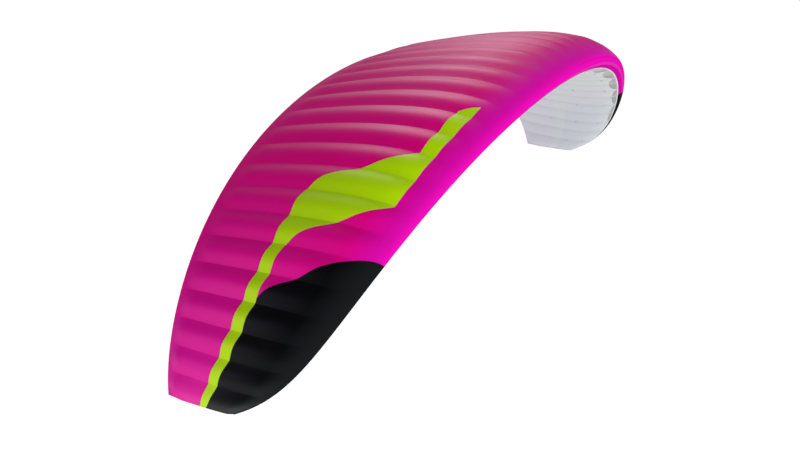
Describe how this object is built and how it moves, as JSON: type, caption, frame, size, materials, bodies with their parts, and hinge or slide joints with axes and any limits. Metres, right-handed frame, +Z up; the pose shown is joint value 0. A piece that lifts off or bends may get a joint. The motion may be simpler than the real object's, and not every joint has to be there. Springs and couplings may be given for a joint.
{
  "type": "paraglider canopy",
  "caption": "Inflated arched paraglider wing with cloth cells, ribs, air intakes, line loops and hinged brake panels at the trailing edge.",
  "frame": {"origin": "quarter-chord point of the middle cell, on its chord line, where the air carries the wing", "axes": "+X forward in flight, +Y to the pilot's left along the span, +Z up"},
  "size_m": [2.9343, 9.087, 2.8054],
  "materials": {
    "upper_cloth": "coated ripstop nylon, satin",
    "lower_cloth": "coated ripstop nylon, satin",
    "rib_cloth": "stiff coated nylon, matt",
    "tip_cloth": "coated ripstop nylon, satin",
    "brake_cloth": "coated ripstop nylon, satin"
  },
  "bodies": {
    "canopy": {"leading_edge_right_outer": "upper_cloth", "leading_edge_right_middle": "upper_cloth", "leading_edge_right_inner": "upper_cloth", "leading_edge_centre": "upper_cloth", "leading_edge_left_inner": "upper_cloth", "leading_edge_left_middle": "upper_cloth", "leading_edge_left_outer": "upper_cloth", "upper_right_outer": "upper_cloth", "upper_right_middle": "upper_cloth", "upper_right_inner": "upper_cloth", "upper_centre": "upper_cloth", "upper_left_inner": "upper_cloth", "upper_left_middle": "upper_cloth", "upper_left_outer": "upper_cloth", "intake_panel_right_outer": "lower_cloth", "intake_panel_right_middle": "lower_cloth", "intake_panel_right_inner": "lower_cloth", "intake_panel_centre": "lower_cloth", "intake_panel_left_inner": "lower_cloth", "intake_panel_left_middle": "lower_cloth", "intake_panel_left_outer": "lower_cloth", "lower_right_outer": "lower_cloth", "lower_right_middle": "lower_cloth", "lower_right_inner": "lower_cloth", "lower_centre": "lower_cloth", "lower_left_inner": "lower_cloth", "lower_left_middle": "lower_cloth", "lower_left_outer": "lower_cloth", "ribs_right_outer": "rib_cloth", "ribs_right_middle": "rib_cloth", "ribs_right_inner": "rib_cloth", "ribs_centre": "rib_cloth", "ribs_left_inner": "rib_cloth", "ribs_left_middle": "rib_cloth", "ribs_left_outer": "rib_cloth", "tip_panel_right": "tip_cloth", "tip_panel_left": "tip_cloth"},
    "right_brake": {"brake_right": "brake_cloth"},
    "left_brake": {"brake_left": "brake_cloth"}
  },
  "joints": [
    {"name": "right_brake_hinge", "type": "hinge", "parent": "canopy", "child": "right_brake", "pos_m": [-1.59686, -3.02992, -0.99168], "axis": [0.0063, -0.8484, -0.5292], "range_deg": [0, 35], "stiffness_Nm_per_rad": 3, "springref_deg": -22.92},
    {"name": "left_brake_hinge", "type": "hinge", "parent": "canopy", "child": "left_brake", "pos_m": [-1.59686, 3.02992, -0.99168], "axis": [-0.0063, -0.8484, 0.5292], "range_deg": [0, 35], "stiffness_Nm_per_rad": 3, "springref_deg": -22.92}
  ]
}
